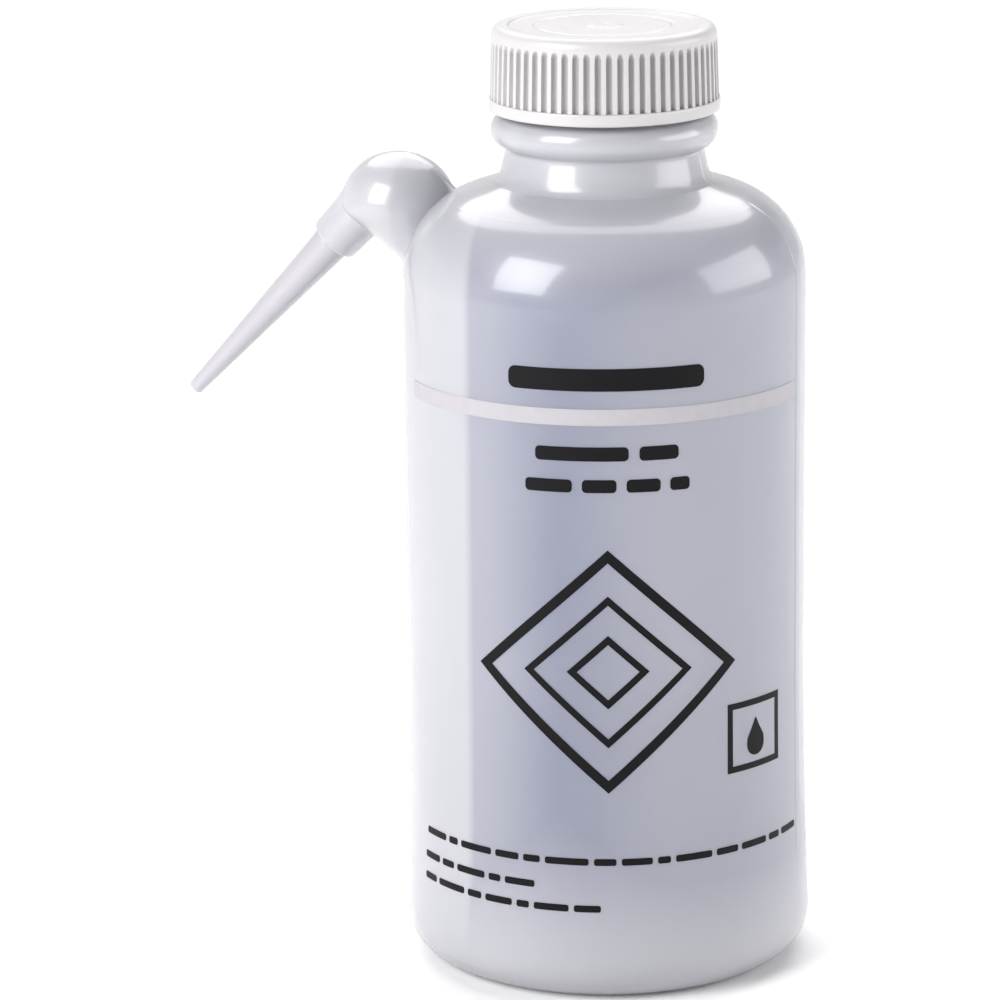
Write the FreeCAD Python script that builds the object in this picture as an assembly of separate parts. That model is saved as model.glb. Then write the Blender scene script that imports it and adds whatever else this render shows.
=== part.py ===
"""Wash bottle: a squeezable 500 ml bottle with its draw channel moulded into one side.

Frame: millimetres, +Z up, origin at the centre of the base on the bottle's axis, nozzle towards -X.
The one-piece bottle moulding is cut into nodes that meet face to face (base, heel, wall, shoulder,
neck, draw channel, elbow and nozzle socket), so that each hollow stays open.  The nozzle, the screw cap and
the cap's sealing disc are separate pieces.
"""
import FreeCAD
import Part
import math
import os

V = FreeCAD.Vector
Z_AXIS = V(0, 0, 1)

# ---- driving dimensions ------------------------------------------------------------------------
WALL = 1.2                    # wall of the moulding

# body of revolution
BODY_R = 37.0                 # straight part of the body
FOOT_R = 38.0                 # widest point, just above the base corner
CORNER_R = 7.8                # base corner
FLARE_TOP = 60.0              # height where the flare of the foot has faded out
RING_IN_R = 26.5              # inner edge of the flat foot ring
PUSH_UP = 2.4                 # height of the hollow under the base
SHOULDER_R = 16.0             # radius of the shoulder in section
SHOULDER_Z = 129.8            # height of the shoulder arc's centre
SHOULDER_SWEEP = 80.0         # degrees of that arc
FLOOR_R = 29.0                # cuts between the nodes of the moulding
HEEL_TOP = 9.0
FOOT_TOP = 14.0
WALL_TOP = 126.0
NECK_BOTTOM = 148.6

# neck, for a 38 mm continuous-thread closure
NECK_ROOT_R = 19.2            # neck where it leaves the shoulder
NECK_WAIST_R = 18.2
NECK_WAIST_Z = 152.6
BEAD_R = 20.7                 # transfer bead under the cap
BEAD_Z = 156.1
BEAD_HALF = 3.4
NECK_E_R = 17.9               # neck between the threads
NECK_BORE_R = 15.5
RIM_Z = 173.0
THREAD_R = 18.7               # crest of the neck's thread
PITCH = 25.4 / 6              # six threads to the inch
THREAD_Z = 162.6              # lower end of the neck's thread
NECK_TURNS = 1.6

# draw channel on the -X side
CHANNEL_S = 33.5              # distance of its axis from the bottle's axis
CHANNEL_R = 6.3
CHANNEL_FLOOR = 2.5
CHANNEL_TOP = 129.0
CHANNEL_REACH = 40.2          # outline that rounds off the channel's lower end
CHANNEL_CORNER = 9.5
INLET_W = 6.0                 # window from the chamber into the channel
INLET_H = 7.0

# elbow: a funnel that leans outwards, closed by a dome
DOME_S = 40.9
DOME_Z = 140.0
DOME_A = 10.8                 # half-length towards the nozzle
DOME_B = 9.8                  # half-width
DOME_C = 9.75                 # height

# nozzle socket and nozzle, on an axis that points down and away
NOZZLE_ANGLE = 46.2           # degrees below the horizontal
SOCKET_S = 54.2               # centre of the socket's end face
SOCKET_Z = 132.1
SOCKET_END_R = 4.7
SOCKET_ROOT_R = 5.0
SOCKET_LENGTH = 12.0
SOCKET_LIP = 0.9
SEAT_DEPTH = 7.3              # depth of the tapered seat
SEAT_MOUTH_R = 3.47
SEAT_END_R = 3.30
PASSAGE_R = 2.7
TAIL_LENGTH = 7.0             # part of the nozzle inside the seat
FIT_GAP = 0.05                # radial clearance between tail and seat
NOZZLE_LENGTH = 42.6          # part of the nozzle outside the seat
NOZZLE_BASE_R = 3.55
NOZZLE_TIP_R = 1.43
NOZZLE_BORE_BASE_R = 2.4
NOZZLE_BORE_TIP_R = 0.6
TIP_CHAMFER = 0.35

# screw cap
CAP_BOTTOM = 160.1
CAP_TOP = 175.7
CAP_FLANGE_R = 21.2
CAP_FLANGE_H = 2.4
CAP_RIB_R = 20.95
CAP_TOP_RIB_R = 20.6
CAP_EDGE_R = 1.9              # rounding of the top edge
CAP_ROOF = 1.7                # thickness of the cap's top
CAP_BORE_R = 19.05
CAP_THREAD_R = 18.25          # crest of the cap's thread
CAP_TURNS = 1.5
RIB_COUNT = 64
GROOVE_R = 0.55               # radius of a grip groove
GROOVE_TOP = 173.4

# sealing disc
LINER_R = 18.6
LINER_GAP = 0.03              # face clearance to the rim and to the cap


# ---- helpers -----------------------------------------------------------------------------------
def line(a, b):
    """Straight edge between two (r, z) points of a section."""
    return Part.LineSegment(V(a[0], 0, a[1]), V(b[0], 0, b[1])).toShape()


def arc(a, m, b):
    """Arc through three (r, z) points of a section."""
    return Part.Arc(V(a[0], 0, a[1]), V(m[0], 0, m[1]), V(b[0], 0, b[1])).toShape()


def curve(a, control, b):
    """Smooth edge from a to b that leaves and arrives along the lines to the control point."""
    bezier = Part.BezierCurve()
    bezier.setPoles([V(r, 0, z) for r, z in (a, control, b)])
    return bezier.toShape()


def revolve(edges):
    """Solid of revolution about the bottle's axis from a closed section in the XZ plane."""
    face = Part.Face(Part.Wire(edges))
    return face.revolve(V(0, 0, 0), Z_AXIS, 360)


def revolve_points(points):
    """Solid of revolution from a closed polygon of (r, z) points."""
    closed = points + points[:1]
    return revolve([line(a, b) for a, b in zip(closed, closed[1:])])


def along_nozzle(shape):
    """Move a shape built about +Z, with z as the distance out of the socket, onto the nozzle's axis."""
    turned = shape.copy()
    turned.rotate(V(0, 0, 0), V(0, 1, 0), -(90 + NOZZLE_ANGLE))
    turned.translate(V(-SOCKET_S, 0, SOCKET_Z))
    return turned


def slab(z_low, z_high):
    """A block wider than the bottle between two heights."""
    return Part.makeBox(240, 240, z_high - z_low, V(-120, -120, z_low))


def arc_mid(centre, radius, a0, a1):
    """Middle point of an arc given by centre, radius and two angles in degrees."""
    mid = math.radians((a0 + a1) / 2)
    return (centre[0] + radius * math.cos(mid), centre[1] + radius * math.sin(mid))


# ---- bottle body -------------------------------------------------------------------------------
def body_section(inset):
    """Closed section of the body from the axis to its outer face, moved inwards by inset."""
    ring_out = FOOT_R - CORNER_R
    corner = CORNER_R - inset
    foot = FOOT_R - inset
    body = BODY_R - inset
    arch = SHOULDER_R - inset
    floor = inset
    recess = PUSH_UP + inset
    centre = (BODY_R - SHOULDER_R, SHOULDER_Z)
    sweep = math.radians(SHOULDER_SWEEP)
    arch_end = (centre[0] + arch * math.cos(sweep), centre[1] + arch * math.sin(sweep))
    flat_end = (arch_end[0] - 2.2, arch_end[1] + 2.2 / math.tan(sweep))
    neck = (NECK_ROOT_R - inset, NECK_BOTTOM)
    neck_mid = (neck[0] + 0.7 - inset * 0.3, (flat_end[1] + neck[1]) / 2 - 0.45)
    flare_control = (body, (CORNER_R + FLARE_TOP) / 2)
    return [
        line((0, recess), (RING_IN_R - 4, recess)),
        line((RING_IN_R - 4, recess), (RING_IN_R, floor)),
        line((RING_IN_R, floor), (ring_out, floor)),
        arc((ring_out, floor), arc_mid((ring_out, CORNER_R), corner, -90, 0), (foot, CORNER_R)),
        curve((foot, CORNER_R), flare_control, (body, FLARE_TOP)),
        line((body, FLARE_TOP), (body, SHOULDER_Z)),
        arc((body, SHOULDER_Z), arc_mid(centre, arch, 0, SHOULDER_SWEEP), arch_end),
        line(arch_end, flat_end),
        arc(flat_end, neck_mid, neck),
        line(neck, (0, NECK_BOTTOM)),
        line((0, NECK_BOTTOM), (0, recess)),
    ]


def body_shell():
    """Hollow body from the foot to the neck, closed at the base and open at the neck."""
    return revolve(body_section(0)).cut(revolve(body_section(WALL)))


def channel_limit(inset):
    """Round body that trims the channel's lower end to the bottle's base corner."""
    reach = CHANNEL_REACH - inset
    corner = CHANNEL_CORNER - inset
    centre = (reach - corner, corner + inset)
    return revolve([
        line((0, inset), (centre[0], inset)),
        arc((centre[0], inset), arc_mid(centre, corner, -90, 0), (reach, centre[1])),
        line((reach, centre[1]), (reach, CHANNEL_TOP + 1)),
        line((reach, CHANNEL_TOP + 1), (0, CHANNEL_TOP + 1)),
        line((0, CHANNEL_TOP + 1), (0, inset)),
    ])


def channel_core(inset):
    """Solid that fills the channel's outline, moved inwards by inset."""
    bottom = CHANNEL_FLOOR + inset
    rod = Part.makeCylinder(CHANNEL_R - inset, CHANNEL_TOP - bottom, V(-CHANNEL_S, 0, bottom))
    return rod.common(channel_limit(inset))


def channel_nodes():
    """Tube moulded into the bottle's side, and its foot with a window into the chamber."""
    tube = channel_core(0).cut(channel_core(WALL))
    mouth = Part.makeCylinder(CHANNEL_R - WALL, 1.0, V(-CHANNEL_S, 0, CHANNEL_TOP - 0.5))
    window = Part.makeBox(CHANNEL_R, INLET_W, INLET_H,
                          V(-CHANNEL_S + 2, -INLET_W / 2, CHANNEL_FLOOR + WALL + 0.3))
    tube = tube.cut(mouth).cut(window)
    return {
        "channel_foot": tube.common(slab(-1, FOOT_TOP)),
        "draw_channel": tube.common(slab(FOOT_TOP, CHANNEL_TOP + 1)),
    }


def elbow_core(inset):
    """Funnel from the channel's circle out to the dome's ellipse, closed by half an ellipsoid."""
    low = Part.Wire(Part.Circle(V(-CHANNEL_S, 0, CHANNEL_TOP), Z_AXIS, CHANNEL_R - inset).toShape())
    rim = Part.Ellipse(V(-DOME_S, 0, DOME_Z), DOME_A - inset, DOME_B - inset)
    funnel = Part.makeLoft([low, Part.Wire(rim.toShape())], True, True)
    dome = Part.makeSphere(1.0, V(0, 0, 0), Z_AXIS, 0, 90, 360)
    stretch = FreeCAD.Matrix()
    stretch.A11 = DOME_A - inset
    stretch.A22 = DOME_B - inset
    stretch.A33 = DOME_C - inset
    dome = dome.transformGeometry(stretch)
    dome.translate(V(-DOME_S, 0, DOME_Z))
    return funnel.fuse(dome)


def nozzle_rod(radius, start, end):
    """Round rod on the nozzle's axis between two distances from the socket's end face."""
    return along_nozzle(Part.makeCylinder(radius, end - start, V(0, 0, start)))


def elbow_web():
    """Thin web of the parting plane in the crotch between the dome and the shoulder."""
    corners = [V(-33.2, -WALL / 2, 146.6), V(-28.6, -WALL / 2, 142.4), V(-33.0, -WALL / 2, 139.0)]
    plate = Part.Face(Part.makePolygon(corners + corners[:1])).extrude(V(0, WALL, 0))
    return plate.cut(elbow_core(0)).cut(revolve(body_section(0)))


def elbow_shell():
    """Hollow elbow that turns the channel outwards, open below and open to the nozzle socket."""
    shell = elbow_core(0).cut(elbow_core(WALL))
    return shell.cut(nozzle_rod(PASSAGE_R, -SOCKET_LENGTH, -2))


def elbow_funnel():
    """Lower part of the elbow, up to the dome's rim, with the passage to the nozzle socket."""
    return elbow_shell().common(slab(CHANNEL_TOP, DOME_Z))


def elbow_dome():
    """Domed top of the elbow, with the web that ties it to the shoulder."""
    return elbow_shell().fuse(elbow_web()).common(slab(DOME_Z, CAP_TOP))


def nozzle_socket():
    """Short spigot with a tapered seat for the nozzle, standing on the elbow's lower side."""
    lip_mid = (SOCKET_END_R - SOCKET_LIP * (1 - math.sqrt(0.5)), -SOCKET_LIP * (1 - math.sqrt(0.5)))
    spigot = revolve([
        line((PASSAGE_R, -SOCKET_LENGTH), (SOCKET_ROOT_R, -SOCKET_LENGTH)),
        line((SOCKET_ROOT_R, -SOCKET_LENGTH), (SOCKET_END_R, -SOCKET_LIP)),
        arc((SOCKET_END_R, -SOCKET_LIP), lip_mid, (SOCKET_END_R - SOCKET_LIP, 0)),
        line((SOCKET_END_R - SOCKET_LIP, 0), (SEAT_MOUTH_R, 0)),
        line((SEAT_MOUTH_R, 0), (SEAT_END_R, -SEAT_DEPTH)),
        line((SEAT_END_R, -SEAT_DEPTH), (PASSAGE_R, -SEAT_DEPTH)),
        line((PASSAGE_R, -SEAT_DEPTH), (PASSAGE_R, -SOCKET_LENGTH)),
    ])
    return along_nozzle(spigot).cut(elbow_core(0))


# ---- neck and threads --------------------------------------------------------------------------
def thread(radius, crest, half_root, half_crest, start_z, turns):
    """Right-handed ridge of trapezoid section from radius to crest, along a helix."""
    overlap = 0.25 if crest > radius else -0.25
    path = Part.makeHelix(PITCH, PITCH * turns, radius)
    path.translate(V(0, 0, start_z))
    corners = [V(radius - overlap, 0, start_z - half_root), V(crest, 0, start_z - half_crest),
               V(crest, 0, start_z + half_crest), V(radius - overlap, 0, start_z + half_root)]
    section = Part.makePolygon(corners + corners[:1])
    return Part.Wire(path).makePipeShell([section], True, True)


def neck_finish():
    """Neck with a round bead and a screw thread, and a straight bore."""
    bead_low = (NECK_WAIST_R, BEAD_Z - BEAD_HALF)
    bead_high = (NECK_E_R, BEAD_Z + BEAD_HALF)
    neck = revolve([
        line((NECK_ROOT_R - WALL, NECK_BOTTOM), (NECK_ROOT_R, NECK_BOTTOM)),
        line((NECK_ROOT_R, NECK_BOTTOM), bead_low),
        arc(bead_low, (BEAD_R, BEAD_Z), bead_high),
        line(bead_high, (NECK_E_R, RIM_Z - 0.4)),
        line((NECK_E_R, RIM_Z - 0.4), (NECK_E_R - 0.4, RIM_Z)),
        line((NECK_E_R - 0.4, RIM_Z), (NECK_BORE_R, RIM_Z)),
        line((NECK_BORE_R, RIM_Z), (NECK_BORE_R, NECK_WAIST_Z)),
        line((NECK_BORE_R, NECK_WAIST_Z), (NECK_ROOT_R - WALL, NECK_BOTTOM)),
    ])
    return neck.fuse(thread(NECK_E_R, THREAD_R, 1.1, 0.5, THREAD_Z, NECK_TURNS))


# ---- cap, sealing disc and nozzle --------------------------------------------------------------
def grip_grooves():
    """The ring of upright grooves round the cap, as one compound of cutters."""
    low = CAP_BOTTOM + CAP_FLANGE_H
    grooves = []
    for i in range(RIB_COUNT):
        turn = 2 * math.pi * i / RIB_COUNT
        at = V(CAP_RIB_R * math.cos(turn), CAP_RIB_R * math.sin(turn), low)
        grooves.append(Part.makeCylinder(GROOVE_R, GROOVE_TOP - low, at))
    return Part.makeCompound(grooves)


def screw_cap():
    """Screw cap with a plain flange, a grooved grip band and its own thread inside."""
    flange_top = CAP_BOTTOM + CAP_FLANGE_H
    shoulder_z = CAP_TOP - CAP_EDGE_R
    edge_centre = (CAP_TOP_RIB_R - CAP_EDGE_R, shoulder_z)
    roof = CAP_TOP - CAP_ROOF
    cup = revolve([
        line((CAP_BORE_R, CAP_BOTTOM), (CAP_FLANGE_R, CAP_BOTTOM)),
        line((CAP_FLANGE_R, CAP_BOTTOM), (CAP_FLANGE_R, flange_top)),
        line((CAP_FLANGE_R, flange_top), (CAP_RIB_R, flange_top)),
        line((CAP_RIB_R, flange_top), (CAP_TOP_RIB_R, shoulder_z)),
        arc((CAP_TOP_RIB_R, shoulder_z), arc_mid(edge_centre, CAP_EDGE_R, 0, 90),
            (edge_centre[0], CAP_TOP)),
        line((edge_centre[0], CAP_TOP), (0, CAP_TOP)),
        line((0, CAP_TOP), (0, roof)),
        line((0, roof), (CAP_BORE_R, roof)),
        line((CAP_BORE_R, roof), (CAP_BORE_R, CAP_BOTTOM)),
    ])
    ridge = thread(CAP_BORE_R, CAP_THREAD_R, 0.9, 0.4, THREAD_Z + PITCH / 2, CAP_TURNS)
    return cup.cut(grip_grooves()).fuse(ridge)


def cap_liner():
    """Soft sealing disc that lies between the neck's rim and the cap's roof."""
    low = RIM_Z + LINER_GAP
    thickness = CAP_TOP - CAP_ROOF - LINER_GAP - low
    return Part.makeCylinder(LINER_R, thickness, V(0, 0, low))


def nozzle():
    """Tapered jet with a tail that pushes into the socket and a fine bore right through."""
    tail_r = SEAT_END_R - FIT_GAP
    mouth_r = SEAT_MOUTH_R - FIT_GAP
    tip = NOZZLE_LENGTH
    jet = revolve_points([
        (NOZZLE_BORE_BASE_R, -TAIL_LENGTH),
        (tail_r, -TAIL_LENGTH),
        (mouth_r, FIT_GAP),
        (NOZZLE_BASE_R, FIT_GAP),
        (NOZZLE_TIP_R, tip - TIP_CHAMFER),
        (NOZZLE_TIP_R - TIP_CHAMFER, tip),
        (NOZZLE_BORE_TIP_R, tip),
    ])
    return along_nozzle(jet)


# ---- the moulding, cut into its nodes ----------------------------------------------------------
def moulding_nodes():
    """Base, heel, wall and shoulder: the body's shell less the space of the channel and the elbow."""
    arm = channel_core(0).fuse(elbow_core(0))
    shell = body_shell().cut(arm)
    bottom = shell.common(slab(-1, HEEL_TOP))
    floor = Part.makeCylinder(FLOOR_R, HEEL_TOP + 1, V(0, 0, -1))
    return {
        "bottle_base": bottom.common(floor),
        "bottle_heel": bottom.cut(floor),
        "bottle_wall": shell.common(slab(HEEL_TOP, WALL_TOP)),
        "bottle_shoulder": shell.common(slab(WALL_TOP, NECK_BOTTOM)),
    }


def main():
    nodes = moulding_nodes()
    nodes["neck_finish"] = neck_finish()
    nodes.update(channel_nodes())
    nodes["elbow_funnel"] = elbow_funnel()
    nodes["elbow_dome"] = elbow_dome()
    nodes["nozzle_socket"] = nozzle_socket()
    nodes["nozzle"] = nozzle()
    nodes["screw_cap"] = screw_cap()
    nodes["cap_liner"] = cap_liner()
    os.makedirs("parts", exist_ok=True)
    for name, shape in nodes.items():
        print(name, "solids", len(shape.Solids), "volume %.1f" % shape.Volume, "valid", shape.isValid())
        shape.exportStep("parts/%s.step" % name)


main()
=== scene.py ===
"""Laboratory wash bottle: a milky squeeze bottle with a moulded draw channel, nozzle and screw cap.

Lengths are in metres. +Z is up along the bottle's axis, the nozzle points towards -X, and the plane
y = 0 is where the two halves of the mould met.
"""

import math

import bpy
import numpy as np
from bpy.props import FloatProperty, FloatVectorProperty, IntProperty, PointerProperty
from mathutils import Matrix


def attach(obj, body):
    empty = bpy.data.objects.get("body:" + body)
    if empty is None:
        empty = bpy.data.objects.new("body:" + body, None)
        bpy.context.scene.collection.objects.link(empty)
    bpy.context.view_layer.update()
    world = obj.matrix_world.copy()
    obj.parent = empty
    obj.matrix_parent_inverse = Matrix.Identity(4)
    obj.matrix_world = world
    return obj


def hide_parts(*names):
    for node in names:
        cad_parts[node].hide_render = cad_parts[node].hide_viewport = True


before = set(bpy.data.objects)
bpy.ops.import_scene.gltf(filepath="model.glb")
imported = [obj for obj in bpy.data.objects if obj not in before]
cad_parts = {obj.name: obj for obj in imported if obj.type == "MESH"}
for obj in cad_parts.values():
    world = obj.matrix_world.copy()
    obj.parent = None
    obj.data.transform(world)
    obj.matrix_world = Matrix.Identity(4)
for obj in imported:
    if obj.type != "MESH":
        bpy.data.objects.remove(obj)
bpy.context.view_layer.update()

bl_info = {
    "name": "Wash bottle",
    "version": (1, 0, 0),
    "blender": (4, 5, 0),
    "location": "View3D > Sidebar > Wash bottle",
    "description": "Builds a laboratory wash bottle piece by piece",
    "category": "Add Mesh",
}

MM = 0.001
TAU = 2 * math.pi
PITCH = 25.4 / 6 * MM
THREAD_LOW = 162.6 * MM
RIM = 173.0 * MM
BODY_RADIUS = 37.0 * MM
FLARE_TOP = 60.0 * MM
FLARE_FULL = 7.8 * MM
SOCKET_END = np.array([-54.2, 0, 132.1]) * MM
ARTWORK_MIDDLE = math.radians(-70)
AIM_HEIGHT = 0.1


# ---- sizes and colours a user may change ---------------------------------------------------------
def length(name, description, default):
    """A length property in metres."""
    return FloatProperty(name=name, description=description, default=default, min=0, unit="LENGTH",
                         precision=5)


def share(name, description, default):
    """A property between nothing and all."""
    return FloatProperty(name=name, description=description, default=default, min=0, max=1,
                         subtype="FACTOR")


def colour(name, description, default):
    """A linear colour property."""
    return FloatVectorProperty(name=name, description=description, default=default, size=3, min=0,
                               max=1, subtype="COLOR")


class MouldingSizes(bpy.types.PropertyGroup):
    """Sizes and colour of the bottle moulding."""
    body_radius: length("Body radius", "Outside radius of the straight wall", BODY_RADIUS)
    wall: length("Wall", "Thickness of the plastic", 1.2 * MM)
    foot_flare: length("Foot flare", "How far the foot stands out from the wall", 1.0 * MM)
    seam_height: length("Seam height", "Height of the parting line's ridge", 0.16 * MM)
    seam_width: length("Seam width", "Width of the parting line's ridge", 0.7 * MM)
    unevenness: length("Unevenness", "Slow waviness left by blow moulding", 0.05 * MM)
    columns: IntProperty(name="Columns", description="Divisions round the body", default=256, min=64)
    plastic: colour("Plastic", "Natural polyethylene where the wall is thin", (0.188, 0.203, 0.283))
    # This colour is also painted as light on the shoulder and on the +X side of the wall.
    thick_plastic_and_painted_light: colour("Thick plastic", "The same where it is thick", (0.50, 0.495, 0.53))
    opacity: share("Opacity", "Opacity of each face of the wall", 0.72)


class NozzleSizes(bpy.types.PropertyGroup):
    """Sizes and colour of the push-in nozzle."""
    angle: FloatProperty(name="Angle", description="Angle of the nozzle below the horizontal",
                         default=math.radians(46.2), unit="ROTATION")
    tail: length("Tail", "Part of the nozzle inside its seat", 7.0 * MM)
    reach: length("Reach", "Part of the nozzle outside its seat", 42.55 * MM)
    base_radius: length("Base radius", "Outside radius next to the socket", 3.55 * MM)
    tip_radius: length("Tip radius", "Outside radius at the tip", 1.43 * MM)
    bore_radius: length("Bore radius", "Radius of the hole at the tip", 0.6 * MM)
    plastic: colour("Plastic", "Natural polyethylene", (0.42, 0.405, 0.44))
    opacity: share("Opacity", "Opacity of each face", 0.88)


class CapSizes(bpy.types.PropertyGroup):
    """Sizes and colour of the screw cap and its sealing disc."""
    ribs: IntProperty(name="Ribs", description="Grip ribs round the cap", default=64, min=8)
    groove_depth: length("Groove depth", "Depth of the grooves between the ribs", 0.9 * MM)
    groove_share: share("Groove share", "Part of each rib's pitch that is groove", 0.62)
    plastic: colour("Plastic", "Opaque white polypropylene", (0.49, 0.475, 0.485))
    foam: colour("Foam", "Foam of the sealing disc", (0.80, 0.79, 0.75))


class PrintSizes(bpy.types.PropertyGroup):
    """Sizes and colours of the printed marks."""
    ink_thickness: length("Ink thickness", "How far the ink stands on the wall", 0.02 * MM)
    diamond_line: length("Diamond line", "Width of the large diamond's lines", 1.8 * MM)
    frame_line: length("Frame line", "Width of the small frame's line", 1.2 * MM)
    ink: colour("Ink", "Black ink", (0.004, 0.004, 0.005))
    band: colour("Band", "White writing band", (0.385, 0.37, 0.395))


class StageSizes(bpy.types.PropertyGroup):
    """Floor, lights and camera."""
    floor_size: length("Floor size", "Side of the square floor", 12.0)
    floor: colour("Floor", "Plain pale floor", (0.90, 0.90, 0.90))
    sky: FloatProperty(name="Sky", description="Strength of the light overhead", default=0.12, min=0)
    horizon: FloatProperty(name="Horizon", description="Strength of the light near the horizon",
                           default=0.82, min=0)
    distance: length("Distance", "Camera distance from the bottle's axis", 0.900)
    height: length("Height", "Camera height", 0.316139)
    side: FloatProperty(name="Side", description="Turn of the camera about the bottle",
                        default=math.radians(20), unit="ROTATION")


# ---- shapes --------------------------------------------------------------------------------------
def smooth(t):
    """Rises from 0 to 1 with level ends: 3 t squared less 2 t cubed, with t held to that range."""
    t = np.clip(t, 0, 1)
    return t * t * (3 - 2 * t)


def unit(v):
    """A vector divided by its length."""
    return v / np.linalg.norm(v)


def run(a, b, spacing):
    """Points from a up to but not including b, spaced evenly and no wider than spacing."""
    count = max(1, math.ceil(np.linalg.norm(b - a) / spacing))
    return a + (b - a) * (np.arange(count) / count)[:, None]


def rounded(corners):
    """Path through corners (x, y, rounding, spacing), in millimetres, returned in metres.

    Each corner gives way to the arc of its rounding that touches both its sides, and each straight
    run is divided by the spacing of the corner where it ends. A small arc has coarser steps.
    """
    points = np.array([c[:2] for c in corners], float)
    path, last = [], points[0]
    for i in range(1, len(corners) - 1):
        back, ahead = unit(points[i - 1] - points[i]), unit(points[i + 1] - points[i])
        half = 0.5 * math.acos(np.clip(back @ ahead, -1, 1))
        radius, spacing = corners[i][2:]
        start = points[i] + back * radius / math.tan(half)
        centre = points[i] + unit(back + ahead) * radius / math.sin(half)
        first = start - centre
        sweep = math.pi - 2 * half
        turn = math.copysign(1, back[1] * ahead[0] - back[0] * ahead[1])
        step_degrees = 9 if radius > 1.5 else 15 if radius > 0.45 else 30
        count = max(3, math.ceil(math.degrees(sweep) / step_degrees) + 1)
        angles = turn * np.linspace(0, sweep, count)
        arc = np.stack([first[0] * np.cos(angles) - first[1] * np.sin(angles),
                        first[0] * np.sin(angles) + first[1] * np.cos(angles)], 1) + centre
        path += [run(last, start, spacing), arc[:-1]]
        last = arc[-1]
    path += [run(last, points[-1], corners[-1][3]), points[-1:]]
    return np.concatenate(path) * MM


def skin(name, points, close_rows=False, close_columns=True, poles=False):
    """Mesh object on a grid of points (rows, columns, 3).

    Neighbours in the grid share a four-sided face. Rows or columns may run round to meet, and with
    poles the first and the last row each shrink to one point.
    """
    rows, columns = points.shape[:2]
    index = np.arange(rows * columns).reshape(rows, columns)
    if poles:
        index[0], index[-1] = index[0, 0], index[-1, 0]
    a = index if close_rows else index[:-1]
    d = np.roll(index, -1, 0) if close_rows else index[1:]
    b = np.roll(a, -1, 1) if close_columns else a[:, 1:]
    c = np.roll(d, -1, 1) if close_columns else d[:, 1:]
    if not close_columns:
        a, d = a[:, :-1], d[:, :-1]
    if poles:
        first, last = np.stack([a, c, d], -1)[0], np.stack([a, b, c], -1)[-1]
        a, b, c, d = a[1:-1], b[1:-1], c[1:-1], d[1:-1]
    faces = np.stack([a, b, c, d], -1).reshape(-1, 4)
    used = np.unique(index)
    place = np.zeros(rows * columns, int)
    place[used] = np.arange(len(used))
    faces = place[faces].tolist()
    if poles:
        faces += place[first].tolist() + place[last].tolist()
    mesh = bpy.data.meshes.new(name)
    mesh.from_pydata(points.reshape(-1, 3)[used].tolist(), [], faces)
    mesh.update()
    piece = bpy.data.objects.new(name, mesh)
    bpy.context.scene.collection.objects.link(piece)
    return piece


def turned(section, angles, extra=0.0):
    """Grid of a section (r, z) carried round the Z axis: x = r cos, y = r sin, with extra added to r."""
    r = section[:, :1] + extra
    z = section[:, 1:] + 0 * angles
    return np.stack([r * np.cos(angles), r * np.sin(angles), z], -1)


def even_angles(count):
    """Evenly spaced angles round a full turn."""
    return np.arange(count) / count * TAU


def seam_angles(count):
    """Angles round a full turn that crowd together at 0 and at half a turn, where the seam runs."""
    u = np.arange(count) / count
    return TAU * u - 0.42 * np.sin(2 * TAU * u)


def seam_ridge(angles, radius, sizes):
    """Height of the parting line's ridge: a bell across the plane y = 0, from its distance to it."""
    away = np.abs(np.sin(angles)) * radius / (sizes.seam_width / 2)
    return sizes.seam_height * np.exp(-away ** 2)


def screw_ridge(angles, z, low, turns, half_root, half_crest, depth):
    """Height of a right-handed thread: a flat-topped ridge about z = low + pitch x angle / turn."""
    ridge = np.zeros(np.broadcast(angles, z).shape)
    for lap in range(math.ceil(turns)):
        along = lap + angles / TAU
        away = np.abs(z - low - PITCH * along)
        fade = smooth(along / 0.08) * smooth((turns - along) / 0.08)
        ridge = np.maximum(ridge, fade * smooth((half_root - away) / (half_root - half_crest)))
    return depth * ridge


def plate(name, outline, low, high, axis):
    """Flat plate with the given outline (n, 2), from low to high along the axis."""
    middle = np.broadcast_to(outline.mean(0), outline.shape)
    rows = [(middle, low), (outline, low), (outline, high), (middle, high)]
    grid = [np.insert(points, axis, across, axis=1) for points, across in rows]
    return skin(name, np.array(grid), poles=True)


def settle(piece):
    """Makes the piece's modifiers part of its mesh."""
    before = piece.data
    graph = bpy.context.evaluated_depsgraph_get()
    mesh = bpy.data.meshes.new_from_object(piece.evaluated_get(graph))
    piece.modifiers.clear()
    piece.data = mesh
    bpy.data.meshes.remove(before)
    if not mesh.polygons:
        raise RuntimeError("nothing is left of " + piece.name)


def combine(base, other, operation):
    """Joins other to base or cuts it away, and drops other."""
    step = base.modifiers.new("Combine", "BOOLEAN")
    step.operation = operation
    step.solver = "MANIFOLD"
    step.object = other
    settle(base)
    spent = other.data
    bpy.data.objects.remove(other)
    bpy.data.meshes.remove(spent)


def finish(piece, body, nodes, material, sharp=32):
    """Shades the piece, with edges over sharp degrees kept crisp, and ties it to the frame."""
    piece.data.name = piece.name
    piece.data.shade_smooth()
    piece.data.set_sharp_from_angle(angle=math.radians(sharp))
    piece.data.materials.clear()
    piece.data.materials.append(material)
    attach(piece, body)
    if nodes:
        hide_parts(*nodes)


# ---- the bottle moulding -------------------------------------------------------------------------
def foot_flare(z, sizes):
    """Extra radius at the foot: the square of the depth below FLARE_TOP, in full at FLARE_FULL."""
    depth = np.clip((FLARE_TOP - z) / (FLARE_TOP - FLARE_FULL), 0, 1)
    return sizes.foot_flare * depth ** 2


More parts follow.
